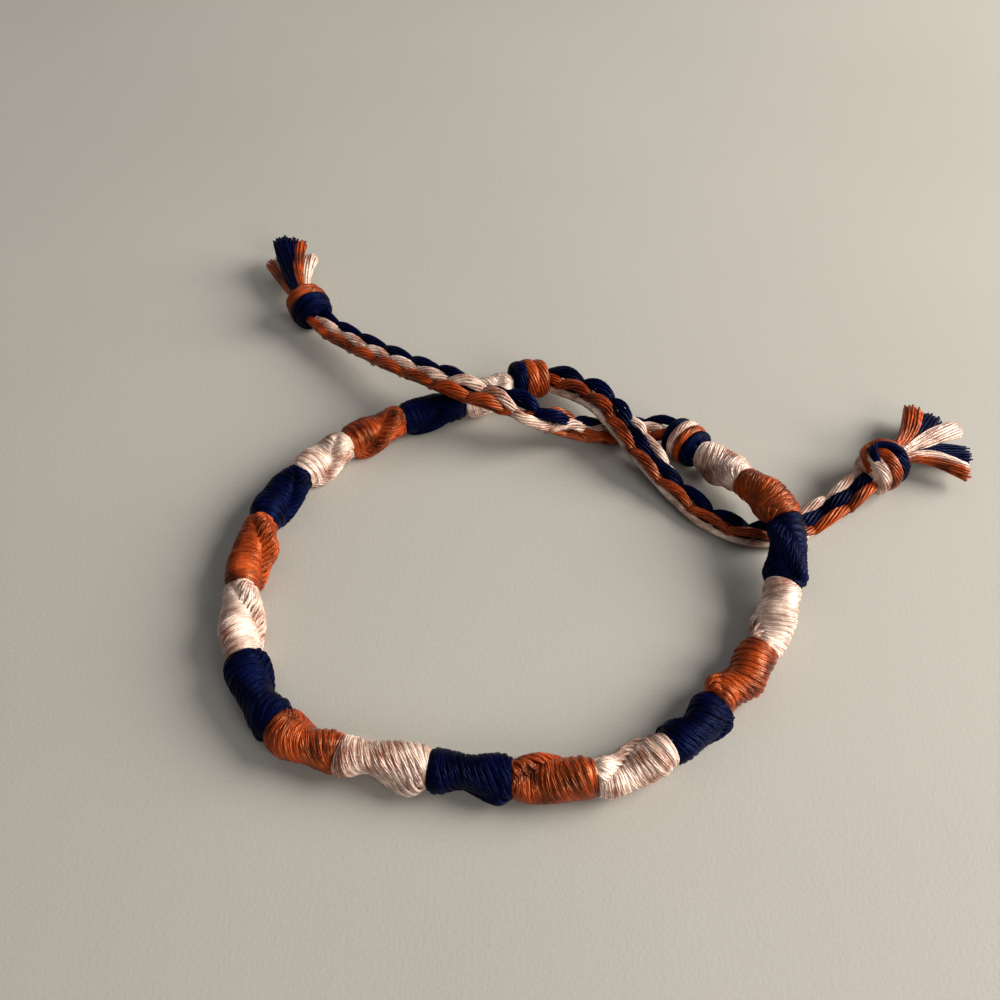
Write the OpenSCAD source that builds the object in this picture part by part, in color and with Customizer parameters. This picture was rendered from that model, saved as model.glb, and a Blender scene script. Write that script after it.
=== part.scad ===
// Friendship bracelet of embroidery thread, lying open in a ring with its two plaited ties crossed.
// Nineteen knotted blocks of three colours, four overhand knots, two three-strand ties, two tassels.

/* [Band] */
// Thickness of the barrel of wraps in a block
barrel_d = 4.3; // [3.6:0.1:4.3]
// How much the barrel is wider along its ridge than across it, as a share of its radius
barrel_oval = 0.06; // [0:0.01:0.08]
// How far the ridge of hitch loops stands out of the barrel
ridge_h = 0.4; // [0:0.05:0.4]
// How far round the barrel the ridge winds within one block, in degrees
ridge_winds = 180; // [90:10:360]
// How much a block narrows at its joints
joint_pinch = 0.3; // [0:0.05:0.5]
// Space between neighbouring blocks
joint_gap = 0.1; // [0.05:0.05:0.2]

/* [Ties] */
// How far a strand of a tie swings to each side of its middle
plait_swing = 1.15; // [1.1:0.01:1.2]
// How far a strand of a tie swings up and down
plait_lift = 0.64; // [0.62:0.01:0.66]
// Mean width of one strand
strand_w = 1.2; // [1:0.02:1.22]
// Mean thickness of one strand
strand_t = 0.94; // [0.8:0.02:0.96]
// Share of its width that a strand gains in the middle of the plait and loses at its edges
strand_spreads = 0.2; // [0:0.02:0.2]
// Share of its thickness that a strand loses in the middle of the plait and gains at its edges
strand_flattens = 0.34; // [0.3:0.02:0.36]
// How far a strand leans where it crosses the middle, in degrees
strand_leans = 18; // [12:1:20]
// Length in which a strand of the right tie comes back to its own edge
right_tie_period = 14.5; // [12:0.5:18]
// Length in which a strand of the left tie comes back to its own edge
left_tie_period = 12; // [11.5:0.5:16]
// Size of a tie where a knot grips it, as a share of its full size
grip = 0.7; // [0.6:0.05:0.75]

/* [Knots] */
// Thickness of a knot at the end of the band
end_knot_d = 5.3; // [4.6:0.1:5.3]
// Length of a knot at the end of the band
end_knot_l = 4.6; // [4:0.1:4.6]
// Thickness of a knot at the end of a tie
tail_knot_d = 5.8; // [5:0.1:5.8]
// Length of a knot at the end of a tie
tail_knot_l = 4.8; // [4.2:0.1:4.8]
// Wraps that lie side by side round a knot
knot_wraps = 3; // [2:1:4]
// How deep the grooves between the wraps of a knot are
wrap_groove = 0.35; // [0:0.05:0.4]

/* [Tassels] */
// Thickness of a lock of thread where it leaves the knot
lock_root_d = 0.8; // [0.6:0.05:0.8]
// Thickness of a lock of thread at its cut end
lock_tip_d = 1.7; // [1:0.1:1.8]
// Thickness of the head that holds the locks
head_d = 2.6; // [2:0.1:3]
// Length of that head
head_l = 1.2; // [0.8:0.1:1.6]

/* [Hidden] */
PEACH = "#f0bf9f";
RUST = "#b4491d";
NAVY = "#12143c";

// Joints of the band from its left end round the front to its right end: x, y, height of the middle
band_joints = [
    [-11, 13.5, 2.35], [-17, 10.5, 2.15], [-24.5, 7.5, 2.15], [-31, 3.5, 2.15], [-36, -1.5, 2.15],
    [-39.5, -8.5, 2.15], [-40.5, -17.5, 2.15], [-39, -26, 2.15], [-34.5, -33.5, 2.15], [-28, -36.5, 2.15],
    [-19, -38, 2.15], [-11, -39, 2.15], [-3, -39, 2.15], [4.5, -36, 2.15], [10, -31.5, 2.15],
    [15.5, -25, 2.15], [19, -17.5, 3], [20, -10, 4.95], [16.5, -3.5, 3.8], [12.5, 1.5, 2.6]
];

// Angle at which the ridge starts in each block: 0 is the outside of the ring, 90 is up
ridge_starts = [100, 100, 95, 100, 110, 95, 95, 110, 140, 165, 350, 100, 140, 150, 130, 140, 20, 150, 120];

// Middle line of the right tie, from the right end knot over the band's left end to its tail knot
right_tie_route = [
    [8.95, 5.65, 2.5], [6.6, 6.4, 1.9], [4, 6.5, 1.35], [1.5, 6.5, 1.3], [-1, 6.1, 1.8], [-3.5, 6, 2.9],
    [-6.5, 6.2, 4.3], [-9.5, 7, 5.4], [-13, 8, 6.05], [-16.5, 9.3, 6.2], [-19.5, 11, 6.1], [-22.5, 13, 5.5],
    [-26, 15.8, 4.6], [-29.5, 18.8, 3.7], [-32.5, 21.4, 3.1], [-35, 23.6, 2.8], [-37, 25.6, 2.8]
];

// Middle line of the left tie, from the left end knot over the right tie and under the band's right end
left_tie_route = [
    [-5.7, 14.6, 2.6], [-3.9, 13.7, 2.9], [-1.6, 11.9, 3.5], [0.8, 9.3, 3.95], [2.7, 6.2, 3.95],
    [4.7, 2.7, 3.4], [7, -0.5, 2.5], [9.5, -3.6, 1.7], [12, -6.5, 1.35], [15.2, -8.5, 1.25],
    [18.5, -9.3, 1.25], [21.2, -9, 1.25], [23.8, -7.8, 1.3], [26.5, -6.2, 1.6], [29, -4.6, 2.2],
    [31.5, -2.6, 2.7]
];

// Knots: name, middle, angle of the axis seen from above, length, thickness
KNOT_NAME = 0;
KNOT_MIDDLE = 1;
KNOT_TURN = 2;
KNOT_LENGTH = 3;
KNOT_THICKNESS = 4;
knots = [
    ["left_end_knot", [-8.5, 14.2, 2.65], 10, end_knot_l, end_knot_d],
    ["right_end_knot", [10.8, 3.45, 2.65], 131, end_knot_l, end_knot_d],
    ["left_tail_knot", [-38.5, 28, 2.9], 121, tail_knot_l, tail_knot_d],
    ["right_tail_knot", [33.7, -0.9, 2.9], 38, tail_knot_l, tail_knot_d]
];

// Locks of a tassel: where each leaves the head across it and up it, and its cut end
LOCK_ACROSS = 0;
LOCK_UP = 1;
LOCK_TIP = 2;
left_tassel_locks = [
    [-0.9, -0.3, [-45.1, 38.4, 2.2]],
    [-0.45, 0.3, [-43.9, 41.2, 4.8]],
    [0, -0.3, [-42.2, 41.4, 3.4]],
    [0.45, 0.3, [-40.4, 40.2, 4]],
    [0.9, -0.3, [-39, 38.6, 2.6]]
];
right_tassel_locks = [
    [-0.9, 0.3, [40.1, 9, 2.6]],
    [-0.45, -0.3, [42.9, 8.4, 1.4]],
    [0, 0.3, [44.9, 6, 2.4]],
    [0.45, -0.3, [45.65, 2.4, 1.3]],
    [0.9, 0.3, [44.2, -1, 2.4]]
];

band_sides = 14;
band_stations = [0, 0.05, 0.12, 0.22, 0.33, 0.44, 0.56, 0.67, 0.78, 0.88, 0.95, 1];
strand_sides = 8;
strand_ring_step = 0.95;
knot_sides = 14;
knot_stations = 16;
knot_neck_d = 2.4;
knob_square = 3;
wrap_lean = 0.12;
ridge_sharp = 3;
pinch_l = 0.5;
grip_l = 3;
lock_sides = 6;
lock_rings = 3;
lock_bend = 0.45;
head_rings = 3;
head_taper = 0.25;
route_steps = 8;
look_ahead = 0.4;
strand_look_ahead = 0.2;
up = [0, 0, 1];
block_count = len(band_joints) - 1;

function unit(v) = v / norm(v);
function smooth(t) = t * t * (3 - 2 * t);

// A point between the second and third of four points of a smooth curve
function spline(a, b, c, d, t) =
    0.5 * (2 * b + (c - a) * t + (2 * a - 5 * b + 4 * c - d) * t * t + (3 * b - a - 3 * c + d) * t * t * t);

// A route's points with their neighbours past each end, then all points of the smooth curve
function padded(route) = concat([2 * route[0] - route[1]], route,
                                [2 * route[len(route) - 1] - route[len(route) - 2]]);
function fine_points(route) = let (p = padded(route)) concat(
    [for (i = [0:len(route) - 2]) for (k = [0:route_steps - 1])
        spline(p[i], p[i + 1], p[i + 2], p[i + 3], k / route_steps)],
    [route[len(route) - 1]]);
function lengths(points) = [for (i = 0, s = 0; i < len(points);
    s = i + 1 < len(points) ? s + norm(points[i + 1] - points[i]) : s, i = i + 1) s];

// A curve is its length so far at each route point and three lookup tables, for x, y and z
function curve(route) = let (fine = fine_points(route), s = lengths(fine)) [
    [for (i = [0:len(route) - 1]) s[i * route_steps]],
    [for (axis = [0:2]) [for (i = [0:len(fine) - 1]) [s[i], fine[i][axis]]]]
];
function curve_length(c) = c[0][len(c[0]) - 1];
function at(c, s) = [for (axis = [0:2]) lookup(s, c[1][axis])];
function heading(c, s) = unit(at(c, min(s + look_ahead, curve_length(c))) - at(c, max(s - look_ahead, 0)));
function outward(t) = unit(cross(t, up));
function above_floor(p) = [p[0], p[1], max(p[2], 0)];

// Closed solid through rings of points: sides from ring to ring, and a flat face at each end
module loft(rings) {
    n = len(rings[0]);
    last = len(rings) - 1;
    polyhedron(
        points = [for (ring = rings) each ring],
        faces = concat(
            [[for (j = [n - 1:-1:0]) j]],
            [for (i = [0:last - 1]) for (j = [0:n - 1])
                each [[i * n + j, i * n + (j + 1) % n, (i + 1) * n + j],
                      [i * n + (j + 1) % n, (i + 1) * n + (j + 1) % n, (i + 1) * n + j]]],
            [[for (j = [0:n - 1]) last * n + j]]));
}

// One ring of points round a middle, in the plane of two directions
function ring(middle, side, rise, radii) = let (n = len(radii)) [for (j = [0:n - 1])
    above_floor(middle + radii[j] * (cos(360 * j / n) * side + sin(360 * j / n) * rise))];

band_curve = curve(band_joints);
block_colours = [PEACH, NAVY, RUST];
block_words = ["peach", "navy", "rust"];
function two_digits(k) = str(k < 10 ? "0" : "", k);
BLOCKS = [for (k = [0:block_count - 1]) str("block_", two_digits(k + 1), "_", block_words[k % 3])];

// Radius of a block at a share of its length and an angle round it
function block_radius(k, share, long, angle) = let (
    ridge_at = ridge_starts[k] + ridge_winds * share,
    near_joint = exp(-pow(long * min(share, 1 - share) / pinch_l, 2)),
    ridge = pow(max(0, cos(angle - ridge_at)), ridge_sharp) * (1 - near_joint)
) barrel_d / 2 * (1 + barrel_oval * cos(2 * (angle - ridge_at))) - joint_pinch * near_joint + ridge_h * ridge;

module band_block(k) {
    from = band_curve[0][k] + joint_gap / 2;
    long = band_curve[0][k + 1] - joint_gap / 2 - from;
    color(block_colours[k % 3])
        loft([for (share = band_stations)
            let (s = from + share * long, t = heading(band_curve, s), side = outward(t))
            ring(at(band_curve, s), side, cross(side, t),
                 [for (j = [0:band_sides - 1]) block_radius(k, share, long, 360 * j / band_sides)])]);
}

// Size of a tie at a length along it, drawn together towards the knots at its ends
function gripped(c, s) = grip + (1 - grip) * smooth(min(1, min(s, curve_length(c) - s) / grip_l));

// Middle of one strand of a plait: it swings across once, and up and down twice, in one period
function strand_middle(c, period, k, s) = let (
    t = heading(c, s), side = outward(t), phase = 360 * s / period + 120 * k
) at(c, s) + gripped(c, s) * (plait_swing * sin(phase) * side + plait_lift * sin(2 * phase) * cross(side, t));

// Outline of a strand round its middle: flat and leaning in the middle of the plait, upright at its edges
function strand_ring(c, period, k, s) = let (
    total = curve_length(c), phase = 360 * s / period + 120 * k, lean = strand_leans * cos(phase),
    ahead = strand_middle(c, period, k, min(s + strand_look_ahead, total)),
    behind = strand_middle(c, period, k, max(s - strand_look_ahead, 0)),
    t = unit(ahead - behind),
    side = outward(t), rise = cross(side, t),
    across = cos(lean) * side + sin(lean) * rise, through = cos(lean) * rise - sin(lean) * side,
    w = gripped(c, s) * strand_w / 2 * (1 + strand_spreads * cos(2 * phase)),
    h = gripped(c, s) * strand_t / 2 * (1 - strand_flattens * cos(2 * phase))
) [for (j = [0:strand_sides - 1]) let (angle = 360 * (j + 0.5) / strand_sides)
    above_floor(strand_middle(c, period, k, s) + w * cos(angle) * across + h * sin(angle) * through)];

module tie_strand(c, period, k, colour) {
    total = curve_length(c);
    count = round(total / strand_ring_step);
    color(colour)
        loft([for (i = [0:count]) strand_ring(c, period, k, total * i / count)]);
}

// Radius of a knot at a share of its length from -1 to 1: a round knob with a neck at each end, grooved
// between its wraps, which lean a little
function knot_radius(knot, share, angle) = let (
    lean = wrap_lean * cos(angle),
    knob = sqrt(max(0, 1 - pow(abs(share), knob_square))),
    groove = wrap_groove * (0.5 + 0.5 * cos(180 * knot_wraps * (share + lean + 1)))
) knot_neck_d / 2 + (knot[KNOT_THICKNESS] / 2 - knot_neck_d / 2 - groove) * knob;

module knot(k) {
    row = knots[k];
    axis = [cos(row[KNOT_TURN]), sin(row[KNOT_TURN]), 0];
    side = outward(axis);
    color(k % 2 == 0 ? NAVY : RUST)
        loft([for (i = [0:knot_stations])
            let (share = 2 * i / knot_stations - 1)
            ring(row[KNOT_MIDDLE] + share * row[KNOT_LENGTH] / 2 * axis, side, up,
                 [for (j = [0:knot_sides - 1]) knot_radius(row, share, 360 * j / knot_sides)])]);
}

// A lock of thread that leaves the head along the knot's axis and bends towards its cut end
module lock(root, axis, tip) {
    reach = norm(tip - root);
    bend = root + lock_bend * reach * axis;
    loft([for (i = [0:lock_rings])
        let (t = i / lock_rings,
             middle = (1 - t) * (1 - t) * root + 2 * t * (1 - t) * bend + t * t * tip,
             ahead = unit((1 - t) * (bend - root) + t * (tip - bend)),
             side = outward(ahead))
        ring(middle, side, cross(side, ahead),
             [for (j = [0:lock_sides - 1]) (lock_root_d + (lock_tip_d - lock_root_d) * t) / 2])]);
}

module tassel(knot_row, locks) {
    axis = [cos(knot_row[KNOT_TURN]), sin(knot_row[KNOT_TURN]), 0];
    start = knot_row[KNOT_MIDDLE] + (knot_row[KNOT_LENGTH] / 2 + joint_gap) * axis;
    loft([for (i = [0:head_rings])
        ring(start + head_l / head_rings * i * axis, outward(axis), up,
             [for (j = [0:lock_sides * 2 - 1]) head_d / 2 * (1 - head_taper * smooth(i / head_rings))])]);
    for (row = locks)
        lock(start + head_l / head_rings * axis + row[LOCK_ACROSS] * outward(axis) + row[LOCK_UP] * up, axis,
             row[LOCK_TIP]);
}

right_tie_curve = curve(right_tie_route);
left_tie_curve = curve(left_tie_route);
strand_colours = [NAVY, PEACH, RUST];
RIGHT_STRANDS = [for (k = [1:3]) str("right_tie_strand_", k)];
LEFT_STRANDS = [for (k = [1:3]) str("left_tie_strand_", k)];

for (k = [0:block_count - 1]) band_block(k);
for (k = [0:2]) tie_strand(right_tie_curve, right_tie_period, k, strand_colours[k]);
for (k = [0:2]) tie_strand(left_tie_curve, left_tie_period, k, strand_colours[k]);
for (k = [0:3]) knot(k);
color(NAVY) tassel(knots[2], left_tassel_locks);  // left_tassel
color(RUST) tassel(knots[3], right_tassel_locks);  // right_tassel
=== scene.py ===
# Friendship bracelet of embroidery thread, lying open in a ring with its two plaited ties crossed
import math

import bpy
import numpy as np
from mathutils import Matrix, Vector


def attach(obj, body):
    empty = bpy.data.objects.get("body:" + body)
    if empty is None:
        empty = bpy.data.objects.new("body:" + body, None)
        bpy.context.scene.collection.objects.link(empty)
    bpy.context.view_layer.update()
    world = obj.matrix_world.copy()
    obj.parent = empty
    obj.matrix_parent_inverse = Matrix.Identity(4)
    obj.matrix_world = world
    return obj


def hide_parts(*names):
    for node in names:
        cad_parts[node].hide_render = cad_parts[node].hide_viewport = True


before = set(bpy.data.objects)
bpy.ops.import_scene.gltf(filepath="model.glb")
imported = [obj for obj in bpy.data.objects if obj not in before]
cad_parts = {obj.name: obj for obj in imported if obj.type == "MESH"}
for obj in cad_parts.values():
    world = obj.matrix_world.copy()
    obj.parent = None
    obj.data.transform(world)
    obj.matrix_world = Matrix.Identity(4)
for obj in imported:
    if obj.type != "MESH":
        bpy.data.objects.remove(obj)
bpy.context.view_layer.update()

# Sizes are worked out in millimetres and made into metres where a mesh is built
MM = 0.001
UP = np.array([0.0, 0.0, 1.0])


# Camera and light
# Camera place, lens and film width in millimetres, and its turn up from straight down in degrees
CAMERA_PLACE, CAMERA_TURN = (-12.15, -74.84, 93.0), 37.5
LENS, FILM_WIDTH = 34.92, 36
# Lights, all aimed at the middle of the ring: place and size in metres, power in watts, colour
LIGHTS = {
    "window_light": ((0.50, 0.05, 0.28), 0.42, 6.7, (1.0, 0.97, 0.93)),
    "front_light": ((0.35, -0.42, 0.30), 0.3, 1.4, (1.0, 0.97, 0.94)),
    "room_light": ((-0.2, 0.45, 0.5), 0.6, 0.5, (0.92, 0.96, 1.0)),
}
ROOM_COLOUR, ROOM_STRENGTH = (0.86, 0.9, 0.96, 1), 0.185


def place_camera():
    camera = bpy.data.objects.new("camera", bpy.data.cameras.new("camera"))
    bpy.context.scene.collection.objects.link(camera)
    camera.data.sensor_width = FILM_WIDTH
    camera.data.lens = LENS
    camera.data.clip_start = 0.005
    camera.data.clip_end = 10
    camera.location = Vector(CAMERA_PLACE) * MM
    camera.rotation_euler = (math.radians(CAMERA_TURN), 0, 0)
    bpy.context.scene.camera = camera


def soft_light(name, place, size, power, colour):
    light = bpy.data.lights.new(name, "AREA")
    light.shape = "DISK"
    light.size, light.energy, light.color = size, power, colour
    lamp = bpy.data.objects.new(name, light)
    bpy.context.scene.collection.objects.link(lamp)
    lamp.location = place
    lamp.rotation_euler = (-Vector(place)).to_track_quat("-Z", "Y").to_euler()


def light_scene():
    for name, (place, size, power, colour) in LIGHTS.items():
        soft_light(name, place, size, power, colour)
    world = bpy.data.worlds.new("room")
    world.use_nodes = True
    background = world.node_tree.nodes["Background"].inputs
    background["Color"].default_value, background["Strength"].default_value = ROOM_COLOUR, ROOM_STRENGTH
    bpy.context.scene.world = world
    bpy.context.scene.view_settings.view_transform = "Standard"


# Shader maths
class Value:
    """A shader socket that can be added to, multiplied and compared as a number can."""

    def __init__(self, paint, socket):
        self.paint, self.socket = paint, socket

    def _math(self, operation, a, b=0.0):
        return self.paint.value("ShaderNodeMath", 0, {"operation": operation}, {0: a, 1: b})

    def __add__(self, other):
        return self._math("ADD", self, other)

    def __sub__(self, other):
        return self._math("SUBTRACT", self, other)

    def __rsub__(self, other):
        return self._math("SUBTRACT", other, self)

    def __mul__(self, other):
        return self._math("MULTIPLY", self, other)

    __radd__ = __add__
    __rmul__ = __mul__

    def sine(self):
        return self._math("SINE", self)

    def clamped(self):
        return self._math("MAXIMUM", self._math("MINIMUM", self, 1.0), 0.0)


class Paint:
    """One material's nodes, with one way to add a node."""

    def __init__(self, name):
        self.material = bpy.data.materials.new(name)
        self.material.use_nodes = True
        self.tree = self.material.node_tree
        self.tree.nodes.clear()

    def node(self, kind, settings=None, sockets=None):
        node = self.tree.nodes.new(kind)
        for key, setting in (settings or {}).items():
            setattr(node, key, setting)
        for key, value in (sockets or {}).items():
            value = value.socket if isinstance(value, Value) else value
            if isinstance(value, bpy.types.NodeSocket):
                self.tree.links.new(value, node.inputs[key])
            else:
                node.inputs[key].default_value = value
        return node

    def value(self, kind, output, settings=None, sockets=None):
        return Value(self, self.node(kind, settings, sockets).outputs[output])

    def noise(self, vector, scale, detail=2.0):
        sockets = {"Vector": vector, "Scale": scale, "Detail": detail}
        return self.value("ShaderNodeTexNoise", "Fac", {}, sockets)

    def finish(self, **sockets):
        named = {key.replace("_", " "): value for key, value in sockets.items()}
        surface = self.node("ShaderNodeBsdfPrincipled", {}, named)
        self.node("ShaderNodeOutputMaterial", {}, {"Surface": surface.outputs[0]})
        return self.material


NAVY, RUST, PEACH = "navy", "rust", "peach"
# Noise scales on thread: broad patches of painted highlight and shade, fine fuzz, and streaks of tone and
# painted sheen
PAINTED_LIGHT_SCALE, FUZZ_SCALE, STREAK_SCALE = 420.0, 6000.0, 2.0
# Length in mm in which the fibres of a ply twist once, and how many of them show round it
FIBRE_TWIST_L, FIBRES_ROUND = 4.5, 3


def cotton_thread(name, dark, light, tint, roughness, shine, sheen):
    """A ply of cotton: painted highlight and shade in broad patches, streaks of its own tone and painted
    sheen along it, its fine twist and a satin shine.
    """
    paint = Paint(name)
    place = paint.node("ShaderNodeTexCoord").outputs["Object"]
    along = paint.node("ShaderNodeSeparateXYZ", {}, {0: paint.node("ShaderNodeUVMap").outputs[0]})
    length, around = Value(paint, along.outputs["X"]), Value(paint, along.outputs["Y"])
    shade = paint.value("ShaderNodeAttribute", "Fac", {"attribute_name": "shade"})
    on_ply = paint.node("ShaderNodeCombineXYZ", {}, {0: length * 1.2, 1: around * 4.0, 2: shade * 60.0})
    streak_and_sheen = paint.noise(on_ply.outputs[0], STREAK_SCALE, 3.0)
    painted_light_patch = paint.noise(place, PAINTED_LIGHT_SCALE)
    fuzz = paint.noise(place, FUZZ_SCALE)
    twist = (length * (2 * math.pi / FIBRE_TWIST_L) + around * (2 * math.pi * FIBRES_ROUND) +
             shade * 40.0).sine()
    # how light each spot is: mostly painted highlight and shade from the broad patches, then its own tone
    # and painted sheen from the streaks, the ply's own random tone, fine fuzz, and a little painted glint
    # on the twist
    amount = (shade * 0.25 + streak_and_sheen * 1.1 + painted_light_patch * 2.5 + fuzz * 0.3 + twist * 0.06 - 1.58).clamped()
    colour = paint.node("ShaderNodeMix", {"data_type": "RGBA"}, {0: amount, 6: (*dark, 1), 7: (*light, 1)})
    bump = paint.node("ShaderNodeBump", {}, {"Strength": 0.7, "Distance": 0.00003,
                                             "Height": twist * 0.6 + streak_and_sheen + fuzz * 0.6})
    return paint.finish(Base_Color=colour.outputs[2], Roughness=(streak_and_sheen * 0.3 + (roughness - 0.15)),
                        Normal=bump.outputs[0], Specular_IOR_Level=shine, Specular_Tint=(*tint, 1),
                        Sheen_Weight=sheen, Sheen_Tint=(*tint, 1), Sheen_Roughness=0.4)


def pale_surface():
    """A plain pale tabletop with a very fine grain."""
    paint = Paint("pale_surface")
    place = paint.node("ShaderNodeTexCoord").outputs["Object"]
    cloud = paint.noise(place, 18.0, 3.0)
    grain = paint.noise(place, 2600.0)
    colour = paint.node("ShaderNodeMix", {"data_type": "RGBA"}, {
        0: cloud * 0.6 + grain * 0.4, 6: (0.36, 0.335, 0.29, 1), 7: (0.46, 0.43, 0.378, 1)})
    bump = paint.node("ShaderNodeBump", {}, {"Strength": 0.25, "Distance": 0.0001, "Height": grain})
    return paint.finish(Base_Color=colour.outputs[2], Roughness=0.75, Normal=bump.outputs[0])


# Each thread: its colour in painted shade and in painted highlight, which the patches and streaks mix
# between, then tint, roughness, shine and sheen
threads_of = {
    NAVY: cotton_thread("navy_thread", (0.0002, 0.0002, 0.002), (0.0010, 0.0017, 0.024),
                        (0.15, 0.3, 1.0), 0.46, 0.13, 0.0),
    RUST: cotton_thread("rust_thread", (0.055, 0.002, 0.0005), (0.44, 0.056, 0.006),
                        (1.0, 0.48, 0.22), 0.34, 0.8, 0.02),
    PEACH: cotton_thread("peach_thread", (0.26, 0.08, 0.035), (1.0, 0.77, 0.62),
                         (1.0, 0.95, 0.9), 0.34, 0.95, 0.05),
}


# Routes of the band and the ties
def unit(v):
    return v / np.linalg.norm(v, axis=-1, keepdims=True)


def smooth(t):
    t = np.clip(t, 0, 1)
    return t * t * (3 - 2 * t)


class Route:
    """A smooth curve through a few points, read by the length along it."""

    STEPS = 8

    def __init__(self, points):
        p = np.array(points, float)
        p = np.vstack([2 * p[0] - p[1], p, 2 * p[-1] - p[-2]])
        t = (np.arange(self.STEPS) / self.STEPS)[:, None]
        parts = []
        for a, b, c, d in zip(p[:-3], p[1:-2], p[2:-1], p[3:]):
            parts.append(0.5 * (2 * b + (c - a) * t + (2 * a - 5 * b + 4 * c - d) * t ** 2 +
                                (3 * b - a - 3 * c + d) * t ** 3))
        self.points = np.vstack(parts + [p[-2:-1]])
        self.so_far = np.concatenate([[0], np.cumsum(np.linalg.norm(np.diff(self.points, axis=0), axis=1))])
        self.length = self.so_far[-1]
        self.joints = self.so_far[::self.STEPS]

    def at(self, s):
        return np.stack([np.interp(s, self.so_far, self.points[:, axis]) for axis in range(3)], -1)

    def heading(self, s, ahead=0.4):
        return unit(self.at(np.minimum(s + ahead, self.length)) - self.at(np.maximum(s - ahead, 0)))

    def sides(self, s):
        """Middle, the direction out of the ring, and the direction that rises."""
        ahead = self.heading(s)
        outward = unit(np.cross(ahead, UP))
        return self.at(s), outward, np.cross(outward, ahead)


band = Route([
    [-11, 13.5, 2.35], [-17, 10.5, 2.15], [-24.5, 7.5, 2.15], [-31, 3.5, 2.15], [-36, -1.5, 2.15],
    [-39.5, -8.5, 2.15], [-40.5, -17.5, 2.15], [-39, -26, 2.15], [-34.5, -33.5, 2.15], [-28, -36.5, 2.15],
    [-19, -38, 2.15], [-11, -39, 2.15], [-3, -39, 2.15], [4.5, -36, 2.15], [10, -31.5, 2.15],
    [15.5, -25, 2.15], [19, -17.5, 3], [20, -10, 4.95], [16.5, -3.5, 3.8], [12.5, 1.5, 2.6]])
right_tie = Route([
    [9.9, 4.5, 2.6], [8.95, 5.65, 2.5], [6.6, 6.4, 1.9], [4, 6.5, 1.35], [1.5, 6.5, 1.3],
    [-1, 6.1, 1.8], [-3.5, 6, 2.9], [-6.5, 6.2, 4.3], [-9.5, 7, 5.4], [-13, 8, 6.05],
    [-16.5, 9.3, 6.2], [-19.5, 11, 6.1], [-22.5, 13, 5.5],
    [-26, 15.8, 4.6], [-29.5, 18.8, 3.7], [-32.5, 21.4, 3.1], [-35, 23.6, 2.8], [-37, 25.6, 2.8],
    [-37.9, 27, 2.85]])
left_tie = Route([
    [-7.2, 14.4, 2.6], [-5.7, 14.6, 2.6], [-3.9, 13.7, 2.9], [-1.6, 11.9, 3.5], [0.8, 9.3, 3.95],
    [2.7, 6.2, 3.95], [4.7, 2.7, 3.4], [7, -0.5, 2.5], [9.5, -3.6, 1.7], [12, -6.5, 1.35],
    [15.2, -8.5, 1.25], [18.5, -9.3, 1.25], [21.2, -9, 1.25], [23.8, -7.8, 1.3], [26.5, -6.2, 1.6],
    [29, -4.6, 2.2], [31.5, -2.6, 2.7], [32.9, -1.6, 2.8]])


# Threads: paths with a thickness and a shade, made into round strands by one node tree
class Strands:
    """Paths of threads of one piece, gathered before they are made."""

    ROUND_OFF = 0.2  # length of the rounded end, as a share of the thickness
    SHADE_DRIFT = 0.18  # how much lighter and darker a ply gets along its way

    def __init__(self):
        self.paths, self.thick, self.shade = [], [], []

    def add(self, path, thick, shade):
        """A path in mm, how thick it is and how light it is; its ends are rounded off."""
        path = np.array(path, float)
        thick = np.broadcast_to(np.array(thick, float), len(path))
        first = path[0] - unit(path[1] - path[0]) * thick[0] * self.ROUND_OFF
        last = path[-1] + unit(path[-1] - path[-2]) * thick[-1] * self.ROUND_OFF
        self.paths.append(np.vstack([first, path, last]))
        self.thick.append(np.concatenate([[0], thick, [0]]))
        slow = np.linspace(0, chance.uniform(2, 5) * np.pi, len(path) + 2) + chance.uniform(0, 6)
        self.shade.append(np.clip(shade + self.SHADE_DRIFT * np.sin(slow), 0, 1))

    def add_thread(self, middle, across, through, half_w, half_t, plies, ply_d, twist_l):
        """A thread of twisted plies whose section is half_w by half_t."""
        so_far = np.concatenate([[0], np.cumsum(np.linalg.norm(np.diff(middle, axis=0), axis=1))])
        start = chance.uniform(0, 6)
        for ply in range(plies):
            turn = start + 2 * np.pi * (ply / plies + so_far / twist_l)
            x, y = np.cos(turn) * (half_w - ply_d / 2), np.sin(turn) * (half_t - ply_d / 2)
            self.add(middle + x[:, None] * across + y[:, None] * through, ply_d, chance.uniform(0, 1))

    def lay_thread(self, path, out, half_w, half_t, plies, ply_d, twist_l):
        """A flat thread along a path, whose broad side faces out."""
        ahead = unit(np.gradient(path, axis=0))
        self.add_thread(path, unit(np.cross(ahead, out)), out, half_w, half_t, plies, ply_d, twist_l)

    def mesh(self, name):
        """All paths as edges in metres, kept above the surface, with a radius and a shade at each point."""
        points = np.vstack(self.paths)
        thick = np.concatenate(self.thick)
        points[:, 2] = np.maximum(points[:, 2], thick / 2)
        edges, first = [], 0
        for path in self.paths:
            run = np.arange(first, first + len(path) - 1)
            edges.append(np.stack([run, run + 1], 1))
            first += len(path)
        mesh = bpy.data.meshes.new(name)
        mesh.from_pydata((points * MM).tolist(), np.vstack(edges).tolist(), [])
        for key, values in (("radius", thick * MM / 2), ("shade", np.concatenate(self.shade))):
            mesh.attributes.new(key, "FLOAT", "POINT").data.foreach_set("value", values.astype(np.float32))
        return mesh


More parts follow.
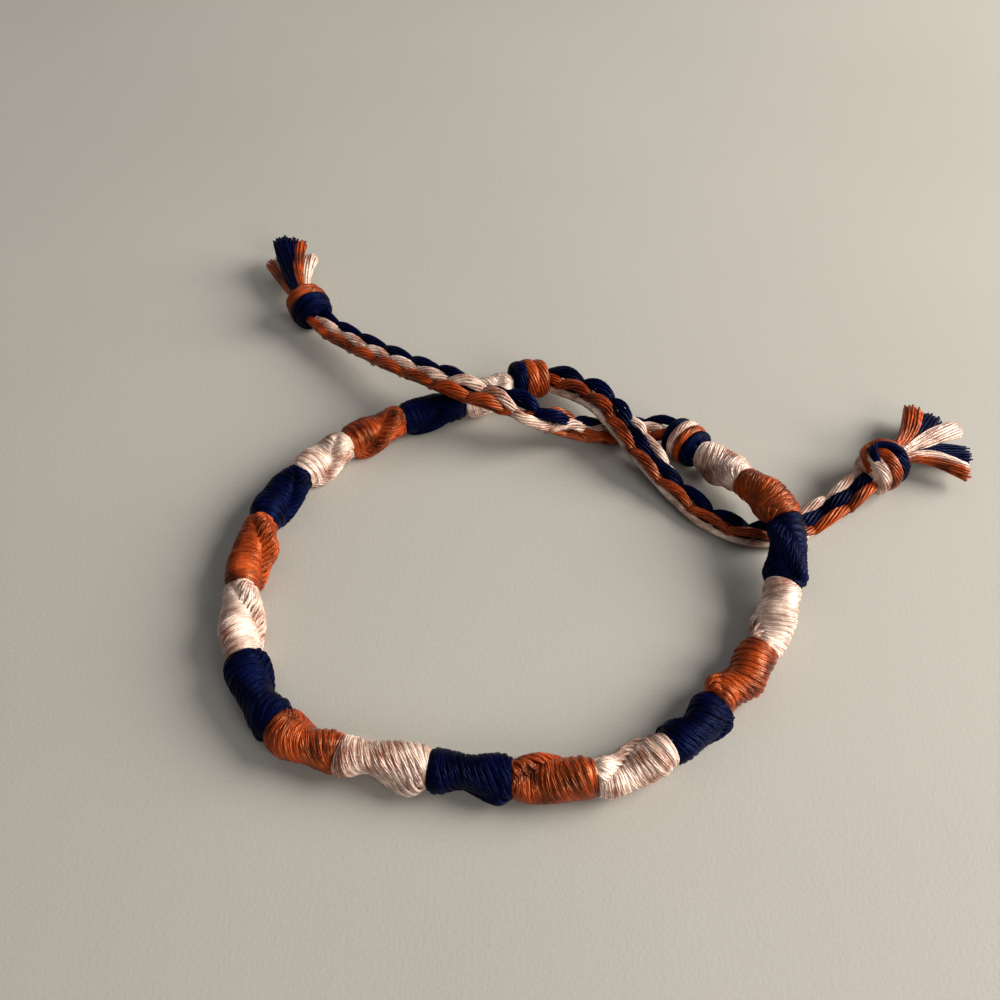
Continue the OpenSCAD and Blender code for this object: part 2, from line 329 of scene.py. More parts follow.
class Tree:
    """A geometry node tree with named inputs, and one way to add a node."""

    def __init__(self, name, inputs):
        self.tree = bpy.data.node_groups.new(name, "GeometryNodeTree")
        face = self.tree.interface
        face.new_socket("Geometry", in_out="INPUT", socket_type="NodeSocketGeometry")
        self.keys = {key: face.new_socket(key, in_out="INPUT", socket_type=kind).identifier
                     for key, kind in inputs}
        face.new_socket("Geometry", in_out="OUTPUT", socket_type="NodeSocketGeometry")
        self.given = self.tree.nodes.new("NodeGroupInput")

    def node(self, kind, settings=None, sockets=None):
        node = self.tree.nodes.new(kind)
        for key, setting in (settings or {}).items():
            setattr(node, key, setting)
        for key, value in (sockets or {}).items():
            if isinstance(value, bpy.types.NodeSocket):
                self.tree.links.new(value, node.inputs[key])
            else:
                node.inputs[key].default_value = value
        return node

    def end(self, geometry):
        whole = self.node("GeometryNodeRealizeInstances", {}, {"Geometry": geometry})
        coated = self.node("GeometryNodeSetMaterial", {}, {
            "Geometry": whole.outputs[0], "Material": self.given.outputs["Material"]})
        self.node("NodeGroupOutput", {}, {"Geometry": coated.outputs[0]})

    def run(self, mesh, name, **values):
        """The tree's result on a mesh, as a plain mesh."""
        holder = bpy.data.objects.new(name, mesh)
        bpy.context.scene.collection.objects.link(holder)
        live = holder.modifiers.new("made", "NODES")
        live.node_group = self.tree
        for key, value in values.items():
            live[self.keys[key]] = value
        seen = holder.evaluated_get(bpy.context.evaluated_depsgraph_get())
        made = bpy.data.meshes.new_from_object(seen)
        holder.modifiers.clear()
        bpy.data.objects.remove(holder)
        made.name = name
        return made


def round_strands():
    """Each path becomes one round strand, with its length stored for the twist of its plies."""
    t = Tree("round_strands", [("Sides", "NodeSocketInt"), ("Material", "NodeSocketMaterial")])
    lines = t.node("GeometryNodeMeshToCurve", {}, {"Mesh": t.given.outputs["Geometry"]})
    length = t.node("GeometryNodeSplineParameter").outputs["Length"]
    kept = t.node("GeometryNodeCaptureAttribute", {}, {"Geometry": lines.outputs[0]})
    kept.capture_items.new("FLOAT", "Length")
    t.tree.links.new(length, kept.inputs["Length"])
    section = t.node("GeometryNodeCurveArc", {}, {
        "Resolution": t.given.outputs["Sides"], "Radius": 1.0,
        "Start Angle": 0.0, "Sweep Angle": 2 * math.pi})
    ringed = t.node("GeometryNodeCaptureAttribute", {}, {"Geometry": section.outputs[0]})
    ringed.capture_items.new("FLOAT", "Around")
    t.tree.links.new(t.node("GeometryNodeSplineParameter").outputs["Factor"], ringed.inputs["Around"])
    radius = t.node("GeometryNodeInputNamedAttribute", {"data_type": "FLOAT"}, {"Name": "radius"})
    tube = t.node("GeometryNodeCurveToMesh", {}, {
        "Curve": kept.outputs["Geometry"], "Profile Curve": ringed.outputs["Geometry"],
        "Scale": radius.outputs[0]})
    in_mm = t.node("ShaderNodeMath", {"operation": "MULTIPLY"}, {0: kept.outputs["Length"], 1: 1 / MM})
    flat = t.node("ShaderNodeCombineXYZ", {}, {0: in_mm.outputs[0], 1: ringed.outputs["Around"]})
    mapped = t.node("GeometryNodeStoreNamedAttribute", {"data_type": "FLOAT2", "domain": "CORNER"},
                    {"Geometry": tube.outputs[0], "Name": "UVMap", "Value": flat.outputs[0]})
    closed = t.node("GeometryNodeMergeByDistance", {}, {"Geometry": mapped.outputs[0], "Distance": 1e-6})
    soft = t.node("GeometryNodeSetShadeSmooth", {}, {"Geometry": closed.outputs[0]})
    t.end(soft.outputs[0])
    return t


# Shortest loose fibre in metres, and how thick a fibre is as a share of its bend's radius
FIBRE_SHORTEST, FIBRE_THIN = 0.0004, 0.02


def loose_fibres():
    """Short fine hairs that stand out of a surface at random, above a lowest height."""
    t = Tree("loose_fibres", [("Density", "NodeSocketFloat"), ("Seed", "NodeSocketInt"),
                              ("Longest", "NodeSocketFloat"), ("Lowest", "NodeSocketFloat"),
                              ("Material", "NodeSocketMaterial")])
    seed = t.given.outputs["Seed"]
    place = t.node("ShaderNodeSeparateXYZ", {}, {0: t.node("GeometryNodeInputPosition").outputs[0]})
    clear = t.node("ShaderNodeMath", {"operation": "GREATER_THAN"},
                   {0: place.outputs["Z"], 1: t.given.outputs["Lowest"]})
    spots = t.node("GeometryNodeDistributePointsOnFaces", {}, {
        "Mesh": t.given.outputs["Geometry"], "Selection": clear.outputs[0],
        "Density": t.given.outputs["Density"], "Seed": seed})
    arc = t.node("GeometryNodeCurveArc", {}, {
        "Resolution": 4, "Radius": 1.0, "Start Angle": 0.0, "Sweep Angle": 1.5})
    section = t.node("GeometryNodeCurvePrimitiveCircle", {}, {"Resolution": 3, "Radius": FIBRE_THIN})
    hair = t.node("GeometryNodeCurveToMesh", {}, {
        "Curve": arc.outputs[0], "Profile Curve": section.outputs[0], "Fill Caps": True})
    upright = t.node("GeometryNodeTransform", {}, {
        "Geometry": hair.outputs[0], "Translation": (-1, 0, 0), "Rotation": (math.pi / 2, 0, 0)})
    spin = t.node("FunctionNodeRandomValue", {"data_type": "FLOAT_VECTOR"},
                  {"Min": (-1.0, -1.0, 0.0), "Max": (1.0, 1.0, 6.28), "Seed": seed})
    turned = t.node("FunctionNodeRotateRotation", {"rotation_space": "LOCAL"},
                    {"Rotation": spots.outputs["Rotation"], "Rotate By": spin.outputs[0]})
    size = t.node("FunctionNodeRandomValue", {"data_type": "FLOAT"}, {"Seed": seed})
    size.inputs[2].default_value = FIBRE_SHORTEST
    t.tree.links.new(t.given.outputs["Longest"], size.inputs[3])
    placed = t.node("GeometryNodeInstanceOnPoints", {}, {
        "Points": spots.outputs["Points"], "Instance": upright.outputs[0],
        "Rotation": turned.outputs[0], "Scale": size.outputs[1]})
    real = t.node("GeometryNodeRealizeInstances", {}, {"Geometry": placed.outputs[0]})
    lit = t.node("GeometryNodeStoreNamedAttribute", {"data_type": "FLOAT", "domain": "POINT"},
                 {"Geometry": real.outputs[0], "Name": "shade", "Value": 1.0})
    t.end(lit.outputs[0])
    return t


STRAND_SIDES = 4
STRAND_TREE = round_strands()
FIBRE_TREE = loose_fibres()


def finished_piece(name, mesh, colour, node):
    """A visible piece in its place, which stands for one solid of the frame."""
    piece = bpy.data.objects.new(name, mesh)
    bpy.context.scene.collection.objects.link(piece)
    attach(piece, "root")
    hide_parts(node)
    colour + "_thread"


def strand_mesh(name, strands, colour):
    # the ring of a section starts and ends at the same point, so it takes one point more
    return STRAND_TREE.run(strands.mesh(name), name, Sides=STRAND_SIDES + 1, Material=threads_of[colour])


def thread_piece(name, strands, colour, node):
    finished_piece(name, strand_mesh(name, strands, colour), colour, node)


# Band: nineteen knotted blocks
BLOCK_COLOURS = [PEACH, NAVY, RUST]
# Barrel of a block: thickness, how oval it is, how deep and over what length it narrows at its joints,
# the space between blocks, and how far under its surface the inner threads lie
BARREL_D, OVAL, JOINT_PINCH, PINCH_L, JOINT_GAP, CORE_UNDER = 4.3, 0.06, 0.3, 0.5, 0.1, 0.16
# Ridge of hitch loops: how far it winds round in one block, how deep its ends sink
RIDGE_WINDS, RIDGE_SINK = math.radians(180), 0.12
# Creases on both sides of the ridge: how far round from it and how wide, in radians
CREASE_TURN, CREASE_WIDE = 0.62, 0.26
# Length of a lump along a block, as a share of the block
LUMP_SHARE = 0.17
# Wraps of a block: how many, width and thickness of the thread, its plies, and the length of their twist
WRAPS, THREAD_W, THREAD_T, PLIES, PLY_D, TWIST_L = 17, 0.66, 0.42, 5, 0.3, 7
# Loop over the ridge: its reach along the band, its width and its plies
LOOP_REACH, LOOP_W, LOOP_PLY_D = 3.4, 0.86, 0.34
# Points along a wrap and along a loop
WRAP_POINTS, LOOP_POINTS = 30, 14
# Loose fibres: how many to a square metre, and the longest in metres
FIBRE_DENSITY, FIBRE_LONGEST = 1800000.0, 0.0009
# The side where each block's ridge starts, in degrees, and how high the ridge stands
RIDGES = [(100, 0.4), (100, 0.35), (95, 0.62), (100, 0.55), (110, 0.45), (95, 0.65), (95, 0.6), (150, 0.4),
          (140, 0.34), (200, 0.5), (190, 0.34), (100, 0.45), (75, 0.45), (190, 0.4), (130, 0.4), (140, 0.4),
          (20, 0.4), (150, 0.35), (120, 0.4)]
# Lumps of each block: share of its length, angle round it, how far out; more than the hitches give
BLOCK_LUMPS = [
    [],
    [[0.3, 100, 0.2]],
    [[0.14, 60, 0.3], [0.32, 80, -0.45], [0.65, 120, 0.25]],
    [[0.25, 70, 0.3], [0.45, 80, -0.35], [0.7, 150, 0.25]],
    [[0.3, 60, 0.25], [0.55, 150, -0.3], [0.8, 30, 0.25]],
    [[0.2, 60, 0.25], [0.38, 170, 0.4], [0.64, 180, -0.35], [0.8, 20, 0.15]],
    [[0.12, 60, 0.25], [0.24, 70, -0.35], [0.6, 60, 0.25]],
    [[0.2, 30, 0.3], [0.55, 160, -0.4], [0.85, 340, 0.3], [0.9, 170, 0.25]],
    [[0.3, 20, 0.3], [0.55, 150, -0.35], [0.8, 0, 0.1]],
    [[0.12, 0, 0.3], [0.36, 345, -0.75], [0.32, 110, -0.35], [0.8, 330, 0.4]],
    [[0.15, 0, 0.35], [0.45, 350, -0.45], [0.5, 130, -0.3], [0.87, 350, 0.25]],
    [[0.2, 80, -0.85], [0.8, 110, 0.5], [0.2, 0, 0.2]],
    [[0.3, 110, -0.85], [0.15, 0, 0.35], [0.5, 170, -0.3], [0.78, 60, 0.4]],
    [[0.2, 150, 0.3], [0.5, 150, -0.45], [0.8, 130, 0.3]],
    [[0.2, 150, 0.3], [0.45, 165, -0.55], [0.76, 140, 0.45], [0.12, 0, -0.75], [0.32, 0, -0.3],
     [0.5, 0, 0.45]],
    [[0.22, 100, -0.75], [0.5, 130, 0.45], [0.7, 120, -0.6], [0.92, 150, 0.3], [0.1, 170, -0.6],
     [0.5, 20, 0.2]],
    [[0.2, 175, 0.5], [0.2, 0, 0.2], [0.5, 150, 0.2], [0.85, 20, -0.2]],
    [[0.5, 60, 0.2], [0.75, 170, -0.3]],
    [[0.3, 60, 0.2], [0.5, 100, -0.3], [0.7, 90, 0.2]]]
# All that is uneven by chance is drawn from here, always in the same order
chance = np.random.default_rng(19)


def uneven(angle, size):
    """A slow random wave along a thread."""
    return size * (np.sin(angle * chance.uniform(0.8, 1.6) + chance.uniform(0, 6)) +
                   0.6 * np.sin(angle * chance.uniform(2.2, 4) + chance.uniform(0, 6)))


class Block:
    """One knotted length of the band, with its own ridge and lumps."""

    def __init__(self, k):
        self.start = band.joints[k] + JOINT_GAP / 2
        self.long = band.joints[k + 1] - JOINT_GAP / 2 - self.start
        self.ridge_start, self.ridge_high = math.radians(RIDGES[k][0]), RIDGES[k][1]
        self.lumps = BLOCK_LUMPS[k]
        self.leans = chance.uniform(0.5, 0.8)

    def ridge(self, share):
        return self.ridge_start + RIDGE_WINDS * share

    def radius(self, share, angle):
        near_joint = np.exp(-(self.long * np.clip(np.minimum(share, 1 - share), 0, 1) / PINCH_L) ** 2)
        from_ridge = angle - self.ridge(share)
        r = BARREL_D / 2 * (1 + OVAL * np.cos(2 * from_ridge)) - JOINT_PINCH * near_joint
        for middle, turn, high in self.lumps:
            along = np.exp(-((share - middle) / LUMP_SHARE) ** 2)
            r = r + high * along * np.maximum(0, np.cos(angle - math.radians(turn))) ** 2
        beside = np.mod(from_ridge + np.pi, 2 * np.pi) - np.pi
        crease = np.exp(-((np.abs(beside) - CREASE_TURN) / CREASE_WIDE) ** 2) * (1 - near_joint)
        return r - 0.5 * self.ridge_high * crease

    def place(self, share, angle, radius):
        """Points at shares of the length and angles round it, and the way out of the band there."""
        centre, outward, rise = band.sides(self.start + share * self.long)
        out = np.cos(angle)[:, None] * outward + np.sin(angle)[:, None] * rise
        return centre + radius[:, None] * out, out


def lay_wrap(strands, block, middle, inside):
    """One turn round the barrel, from one side of the ridge to the other."""
    turn = np.linspace(0.2, 2 * np.pi - 0.2, WRAP_POINTS)
    angle = block.ridge(middle) + turn
    drop = (LOOP_REACH - block.long / WRAPS) * (0.5 - turn / (2 * np.pi))
    lean = block.leans * np.cos(turn - 0.5)
    hook = 0.4 * (np.exp(-turn / 0.5) - np.exp((turn - 2 * np.pi) / 0.5))
    share = middle + ((drop + lean + hook) * inside + uneven(turn, 0.07)) / block.long
    share = np.clip(share, 0.03, 0.97)
    sunk = np.exp(-(turn - turn[0]) / 0.3) + np.exp((turn - turn[-1]) / 0.3)
    radius = block.radius(share, angle) - THREAD_T / 2 - sunk * 0.15 + uneven(turn, 0.025)
    path, out = block.place(share, angle, radius)
    strands.lay_thread(path, out, THREAD_W / 2, THREAD_T / 2, PLIES, PLY_D, TWIST_L)


def lay_loop(strands, block, middle, inside):
    """One loop of thread along the ridge, which holds the wraps beside it."""
    t = np.linspace(0, 1, LOOP_POINTS)
    along = (t - 0.5) * LOOP_REACH / block.long
    share = np.clip(middle + along * (0.4 + 0.6 * inside), 0.02, 0.98)
    angle = block.ridge(share) - RIDGE_WINDS * along * 1.2 + uneven(t * 3, 0.04)
    near = np.exp(-(block.long * np.minimum(share, 1 - share) / PINCH_L) ** 2)
    high = (block.ridge_high * np.sin(np.pi * t) ** 0.8 - RIDGE_SINK) * (1 - 0.8 * near)
    path, out = block.place(share, angle, block.radius(share, angle) - THREAD_T / 2 + high)
    strands.lay_thread(path, out, LOOP_W / 2, THREAD_T / 2, PLIES, LOOP_PLY_D, TWIST_L)


def wraps_and_loops(block):
    """Hitches of a block: each goes round the barrel, then over the ridge along the band."""
    strands = Strands()
    for n in range(WRAPS):
        middle = (n + 0.5) / WRAPS
        inside = smooth(min(middle, 1 - middle) / 0.2)
        lay_wrap(strands, block, middle, inside)
        lay_loop(strands, block, middle, inside)
    return strands


def core(block):
    """Threads inside the wraps, as one closed form just under them."""
    angle = np.linspace(0, 2 * np.pi, 28, endpoint=False)
    rings = []
    for share in np.linspace(0, 1, 24):
        share = np.full(len(angle), share)
        rings.append(block.place(share, angle, block.radius(share, angle) - CORE_UNDER)[0])
    return skin(rings)


def skin(rings):
    """A closed form through rings of the same number of points, kept above the surface."""
    points = np.vstack(rings)
    points[:, 2] = np.maximum(points[:, 2], 0.02)
    n = len(rings[0])
    faces = [list(range(n - 1, -1, -1))]
    for i in range(len(rings) - 1):
        for j in range(n):
            faces.append([i * n + j, i * n + (j + 1) % n, (i + 1) * n + (j + 1) % n, (i + 1) * n + j])
    return points, faces + [[(len(rings) - 1) * n + j for j in range(n)]]


def inside_mesh(name, points, faces, colour):
    """The threads inside, seen only in the gaps."""
    mesh = bpy.data.meshes.new(name)
    mesh.from_pydata((points * MM).tolist(), [], faces)
    shade = np.full(len(points), 0.5, np.float32)
    mesh.attributes.new("shade", "FLOAT", "POINT").data.foreach_set("value", shade)
    mesh.materials.append(threads_of[colour])
    mesh.shade_smooth()
    return mesh


def joined(name, parts):
    """Several meshes as one."""
    objects = [bpy.data.objects.new(name, part) for part in parts]
    for o in objects:
        bpy.context.scene.collection.objects.link(o)
    with bpy.context.temp_override(active_object=objects[0], selected_editable_objects=objects):
        bpy.ops.object.join()
    mesh = objects[0].data
    bpy.data.objects.remove(objects[0])
    mesh.name = name
    return mesh


def fibres(name, mesh, colour):
    """Loose fibres out of a mesh, only where they stay clear of the surface below."""
    return FIBRE_TREE.run(mesh.copy(), name, Density=FIBRE_DENSITY, Seed=int(chance.integers(1, 999)),
                          Longest=FIBRE_LONGEST, Lowest=FIBRE_LONGEST * 1.2, Material=threads_of[colour])


def make_band():
    for k in range(len(RIDGES)):
        colour = BLOCK_COLOURS[k % 3]
        name = f"knotted_block_{k + 1:02d}_{colour}"
        block = Block(k)
        wraps = strand_mesh(name, wraps_and_loops(block), colour)
        inside = inside_mesh(f"{name}_inside", *core(block), colour)
        fluff = fibres(f"{name}_fibres", inside, colour)
        finished_piece(name, joined(name, [wraps, inside, fluff]), colour, f"block_{k + 1:02d}_{colour}")


# Ties: three strands of three threads each, plaited
# Size where a knot grips a tie, as a share of its full size, and the length in which it gets there
GRIP, GRIP_L = 0.8, 3.0
# A thread on top: how it slants across, and half its length; heights of threads below and on top
SLANT, OVER_L, BELOW, ABOVE = 0.16, 3.0, -0.75, 0.5
# Plies of a thread: how many, how thick, and the length in which they twist once
TIE_PLIES, TIE_PLY_D, TIE_TWIST_L = 9, 0.34, 12
# Distance between points along a tie, and between two threads of one colour on top
TIE_STEP, RIGHT_PITCH, LEFT_PITCH = 0.42, 4.8, 4.9
# Colour, place across, width, how far along its turn on top comes, where it runs when it is below
RIGHT_LANES = [(RUST, -1.2, 1.45, 1.4, -0.8), (PEACH, -0.15, 1.6, 0, -0.2), (NAVY, 1.1, 1.5, -2.4, 0.6)]
LEFT_LANES = [(PEACH, -1.25, 1.25, 0, 1.15), (NAVY, -0.05, 1.85, -1.7, 0), (RUST, 1.15, 1.5, 1.2, -0.8)]
# How far along, and how far the plait has rolled over there, in degrees
RIGHT_ROLL = ((0,), (0,))
LEFT_ROLL = ((0, 12, 16, 23, 27, 38, 42), (15, 15, 5, 5, 18, 18, 0))
# How far along, and how full the plait is there
RIGHT_FULL = ((13, 18, 30, 35), (1, 1.14, 1.14, 1))
LEFT_FULL = ((0, 3, 11, 19), (1, 1.28, 1.22, 1))
# Colours that stray from their lane: how far along, how far across, and how deep they sink there
NO_STRAY = ((0,), (0,), (0,))
RIGHT_STRAYS = {
    PEACH: ((15, 18, 20.5, 24, 28.8, 33), (0, -1.3, -1.3, 0.2, 0.85, 0), (0, 0.5, 0.4, 0, 0, 0)),
    NAVY: ((13, 15.5, 18.5, 21.6, 26.4, 31), (0, -1.4, -1.3, 0, 0.2, 0), (0, -0.35, -0.35, 0, 1, 0)),
    RUST: ((11.5, 14.5, 17.3, 20.6, 25, 31), (0, 2.1, 2.1, 0.5, 0, 0.2), (0, 0, 0, 0.9, 0, 0)),
}
LEFT_STRETCH = (0, 12, 16, 22, 26, 38, 42)
LEFT_STRAYS = {
    PEACH: (LEFT_STRETCH, (0.5, 0.5, 0, 0, 0.5, 0.5, 0), (1, 1, 0, 0, 1, 1, 0)),
    NAVY: (LEFT_STRETCH, (-0.6, -0.6, 0, 0, -0.6, -0.6, 0), (-0.12, -0.12, 0, 0, -0.12, -0.12, 0)),
    RUST: (LEFT_STRETCH, (-0.45, -0.45, 0, 0, -0.45, -0.45, 0), (0.1, 0.1, 0, 0, 0.1, 0.1, 0)),
}


def make_tie(side_name, route, pitch, lanes, roll, full, strays):
    """Nine threads, three in a lane, each on top in its turn as one long leaf and then down below."""
    s = np.linspace(0, route.length, int(route.length / TIE_STEP))
    at, outward, upward = route.sides(s)
    rolled = np.radians(np.interp(s, *roll))[:, None]
    side = np.cos(rolled) * outward + np.sin(rolled) * upward
    rise = np.cos(rolled) * upward - np.sin(rolled) * outward
    grip = (GRIP + (1 - GRIP) * smooth(np.minimum(s, route.length - s) / GRIP_L)) * np.interp(s, *full)
    for k in range(3):
        for colour, place, wide, later, below in lanes:
            strands = Strands()
            turn = (s - later) / (3 * pitch) + k / 3 + uneven(s * 0.3, 0.01)
            t = (np.mod(turn + 0.5, 1) - 0.5) * 3 * pitch / OVER_L
            along, aside, sunk = strays.get(colour, NO_STRAY)
            top = np.clip(1 - t ** 2, 0, 1) ** 0.7 * (1 - np.interp(s, along, sunk))
            over = smooth((1.3 - np.abs(t)) / 0.5)
            lane = place + np.interp(s, along, aside, 0, 0)
            across = over * (lane - SLANT * t) + (1 - over) * below + uneven(s * 0.6, 0.03)
            up = BELOW + (ABOVE - BELOW) * top
            middle = at + (grip * across)[:, None] * side + (grip * up)[:, None] * rise
            half_w, half_t = grip * wide / 2 * (0.7 + 0.3 * top), grip * (0.4 + 0.15 * top)
            strands.add_thread(middle, side, rise, half_w, half_t, TIE_PLIES, TIE_PLY_D, TIE_TWIST_L)
            # one thick ply inside, so that nothing shows through between the others; its shade of 0.3,
            # below the plies' usual 0.5, is painted shade in the gaps where it shows
            strands.add(middle[::2], (half_t * 2 - TIE_PLY_D)[::2], 0.3)
            name = f"{side_name}_strand_{k + 1}"
            thread_piece(f"{name}_{colour}", strands, colour, name)


# Knots: overhand knots of all the threads, seen as bands of thread side by side
# Thickness of a knot's neck, how square the knob is, how far its bands lean, and how far under its
# surface the inner threads and the middle of a band lie
KNOT_NECK_D, KNOB_SQUARE, BAND_LEAN, BAND_UNDER = 2.4, 3, 0.16, 0.5
# Section and plies of the threads: half width, half thickness, plies, ply thickness, twist length
BAND_T, BAND_PLIES, BAND_PLY_D, BAND_TWIST_L = 0.55, 11, 0.38, 10
NECK_THREAD = (0.85, 0.35, 8, 0.44, 3.4)
OVER_THREAD = (0.55, 0.45, 8, 0.36, 7)
# Threads at a knot's neck: shares of its length, and how far out of its surface
NECK_SHARES, NECK_LIFTS = np.array([1.05, 1, 0.93, 0.8, 0.6]), np.array([-0.9, -0.45, -0.3, -0.4, -0.9])
NECK_THREADS = 6
# Name, middle, angle of the axis, length, thickness, colours of the bands round it along the axis,
# the side where they lean to its start, colours of the threads that cross over them, and their way:
# share of the length, angle round it, how far out
KNOTS = {
    "left_end_knot": ((-8.5, 14.2, 2.65), 10, 4.6, 5.3, (NAVY, RUST, RUST), 230, (), ()),
    "right_end_knot": ((10.8, 3.45, 2.65), 131, 4.6, 5.3, (NAVY, RUST, PEACH, NAVY), 300, (), ()),
    "left_tail_knot": ((-38.5, 28, 2.9), 121, 4.8, 5.8, (NAVY, NAVY, RUST, RUST), 100, (), ()),
    "right_tail_knot": ((33.7, -0.9, 2.9), 38, 4.8, 5.8, (PEACH, RUST, NAVY), 30, (RUST, NAVY), (
        (-0.97, 95, -0.6), (-0.85, 128, 0), (-0.5, 145, 0.2), (0, 148, 0.3), (0.5, 130, 0.25),
        (0.85, 95, 0.1), (0.96, 45, -0.2))),
}


def knot_axis(name):
    middle, turn, long, thick = KNOTS[name][:4]
    axis = np.array([math.cos(math.radians(turn)), math.sin(math.radians(turn)), 0])
    return np.array(middle, float), axis, unit(np.cross(axis, UP)), long, thick


def knot_radius(thick, share):
    swell = np.sqrt(np.maximum(0, 1 - np.abs(share) ** KNOB_SQUARE))
    return KNOT_NECK_D / 2 + (thick - KNOT_NECK_D) / 2 * swell


def round_knot(name, share, angle, lift):
    """Points on a knot's surface and the way out there, at shares of its length and angles round it."""
    middle, axis, side, long, thick = knot_axis(name)
    out = np.cos(angle)[:, None] * side + np.sin(angle)[:, None] * UP
    radius = knot_radius(thick, share) + lift
    return middle + (share * long / 2)[:, None] * axis + radius[:, None] * out, out


def strands_by_colour():
    return {NAVY: Strands(), RUST: Strands(), PEACH: Strands()}


def lay_bands(name, groups):
    """Broad bands of thread side by side round a knot."""
    bands, lean_side = KNOTS[name][4:6]
    half_w = KNOTS[name][2] / 2 / len(bands) * 1.08
    for n, colour in enumerate(bands):
        angle = np.linspace(0, 2.1 * np.pi, 44) + math.radians(200)
        share = (2 * n + 1) / len(bands) - 1
        share = share * 0.88 - BAND_LEAN * np.cos(angle - math.radians(lean_side)) + uneven(angle, 0.015)
        share = np.clip(share, -0.88, 0.88)
        path, out = round_knot(name, share, angle, -BAND_UNDER + uneven(angle, 0.04))
        groups[colour].lay_thread(path, out, half_w, BAND_T, BAND_PLIES, BAND_PLY_D, BAND_TWIST_L)


def lay_necks(name, groups):
    """Threads that come out of a knot at both ends and bend back in."""
    bands = KNOTS[name][4]
    for end, colour in ((-1, bands[0]), (1, bands[-1])):
        for n in range(NECK_THREADS):
            turn = np.full(len(NECK_SHARES), math.radians(360 / NECK_THREADS * n + 20))
            points, out = round_knot(name, end * NECK_SHARES, turn, NECK_LIFTS)
            bend = Route(points)
            path = bend.at(np.linspace(0, bend.length, 14))
            groups[colour].lay_thread(path, np.broadcast_to(out[0], path.shape), *NECK_THREAD)


def lay_crossings(name, groups):
    """Threads that cross over the bands of a knot."""
    over_colours, way = KNOTS[name][6:]
    for n, colour in enumerate(over_colours):
        share, turn, lift = np.array(way, float).T
        points = round_knot(name, share * (1 - 0.22 * n), np.radians(turn - 24 * n), lift - 0.1)[0]
        arch = Route(points)
        path = arch.at(np.linspace(0, arch.length, 36))
        groups[colour].lay_thread(path, unit(path - knot_axis(name)[0]), *OVER_THREAD)


def make_knot(name):
    groups = strands_by_colour()
    lay_bands(name, groups)
    lay_necks(name, groups)
    lay_crossings(name, groups)
    for colour, strands in groups.items():
        if strands.paths:
            thread_piece(f"{name}_{colour}", strands, colour, name)
    inner_colour = KNOTS[name][4][0]
    angle = np.linspace(0, 2 * np.pi, 24, endpoint=False)
    shares = np.sin(np.linspace(-np.pi / 2, np.pi / 2, 26))
    rings = [round_knot(name, np.full(24, share), angle, -BAND_UNDER)[0] for share in shares]
    inside = inside_mesh(f"{name}_inside", *skin(rings), inner_colour)
    finished_piece(f"{name}_inside", inside, inner_colour, name)


# Tassels: the cut ends of the nine threads, with their plies spread
# Plies of one cut thread: how many, how thick; radius of a lock at its root, and what it gains to its tip
CUT_PLIES, CUT_PLY_D, LOCK_ROOT, LOCK_SPREAD = 22, 0.3, 0.5, 0.34
# Angle between a ply and the next one, and how far a ply turns on its way, in radians
PLY_ANGLE, PLY_TURN = 2.4, 1.3
# Distance between the threads of one lock, and how uneven their cut is
THREAD_SHIFT, CUT_UNEVEN = 0.8, 0.09
# Where a lock leaves its knot across it and up it, its tip, its threads
LEFT_LOCKS = [((-0.9, -0.3), (-45.0, 38.2, 2.2), (RUST, PEACH)),
              ((-0.4, 0.4), (-43.8, 40.8, 4.2), (NAVY, NAVY)),
              ((0, 0.1), (-42.2, 41.0, 3.9), (NAVY,)),
              ((0.45, 0.3), (-40.9, 40.3, 4), (RUST,)),
              ((0.9, -0.3), (-39.7, 38.8, 2.6), (PEACH, PEACH))]
RIGHT_LOCKS = [((-0.9, 0.3), (40.1, 8.8, 2.6), (RUST, RUST)),
               ((-0.45, -0.2), (42.7, 8.2, 1.6), (NAVY, NAVY)),
               ((0, 0.3), (44.7, 5.8, 2.4), (PEACH, PEACH)),
               ((0.45, -0.2), (45.4, 2.4, 1.5), (NAVY, NAVY)),
               ((0.9, 0.3), (44.2, -0.9, 2.2), (PEACH, RUST))]


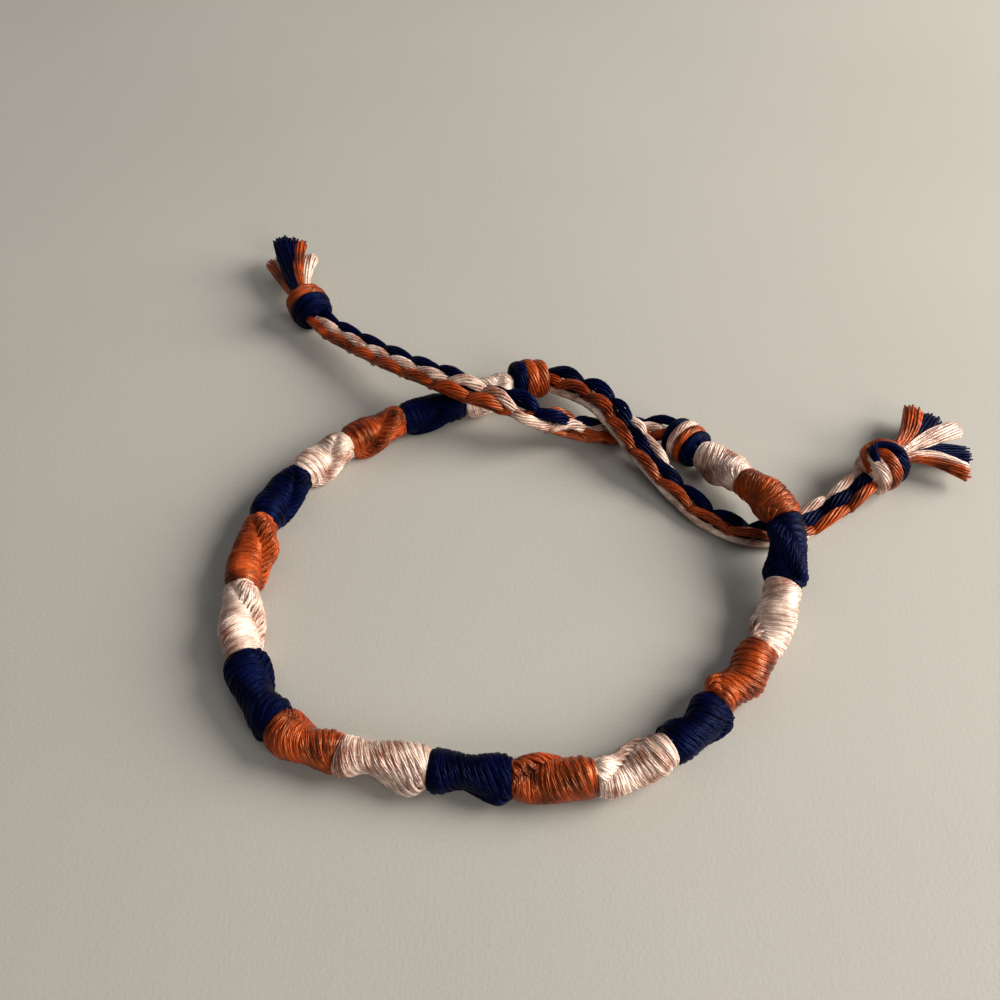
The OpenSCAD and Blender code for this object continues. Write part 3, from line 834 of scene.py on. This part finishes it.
def make_tassel(name, knot_name, locks):
    """Each lock is one or two cut threads, whose plies lie close and fan out a little at the end."""
    middle, axis, side, long = knot_axis(knot_name)[:4]
    start = middle + (long / 2 - 0.5) * axis
    groups = strands_by_colour()
    for (across, rise), tip, colours in locks:
        root = start + across * 0.8 * side + rise * UP
        tip = np.array(tip, float)
        reach = np.linalg.norm(tip - root)
        ahead = unit(tip - root)
        beside = unit(np.cross(ahead, UP))
        over = np.cross(beside, ahead)
        bend = root + 0.45 * reach * axis
        t = np.linspace(0, 1, 14)[:, None]
        for n, colour in enumerate(colours):
            shift = (n - (len(colours) - 1) / 2) * THREAD_SHIFT
            for ply in range(CUT_PLIES):
                far = math.sqrt((ply + 0.5) / CUT_PLIES)
                angle = PLY_ANGLE * ply + PLY_TURN * t
                spread = far * (LOCK_ROOT + LOCK_SPREAD * t ** 1.5)
                cut_end = tip + ahead * chance.normal(-0.1, CUT_UNEVEN)
                mid = (1 - t) ** 2 * root + 2 * t * (1 - t) * bend + t * t * cut_end
                wave = uneven(t * 4, 0.03)
                path = mid + beside * (shift * smooth(t * 1.3) + spread * np.cos(angle) + wave)
                path = path + over * spread * np.sin(angle)
                groups[colour].add(path, CUT_PLY_D, chance.uniform(0, 1))
    for colour, strands in groups.items():
        thread_piece(f"{name}_{colour}", strands, colour, name)


# Surface that the bracelet lies on: reach to each side in metres
FLOOR_REACH = 3.0


def lay_floor():
    mesh = bpy.data.meshes.new("floor")
    r = FLOOR_REACH
    mesh.from_pydata([(-r, -r, 0), (r, -r, 0), (r, r, 0), (-r, r, 0)], [], [(0, 1, 2, 3)])
    floor = bpy.data.objects.new("floor", mesh)
    bpy.context.scene.collection.objects.link(floor)
    mesh.materials.append(pale_surface())


place_camera()
light_scene()
make_band()
make_tie("right_tie", right_tie, RIGHT_PITCH, RIGHT_LANES, RIGHT_ROLL, RIGHT_FULL, RIGHT_STRAYS)
make_tie("left_tie", left_tie, LEFT_PITCH, LEFT_LANES, LEFT_ROLL, LEFT_FULL, LEFT_STRAYS)
for knot_name in KNOTS:
    make_knot(knot_name)
make_tassel("left_tassel", "left_tail_knot", LEFT_LOCKS)
make_tassel("right_tassel", "right_tail_knot", RIGHT_LOCKS)
lay_floor()
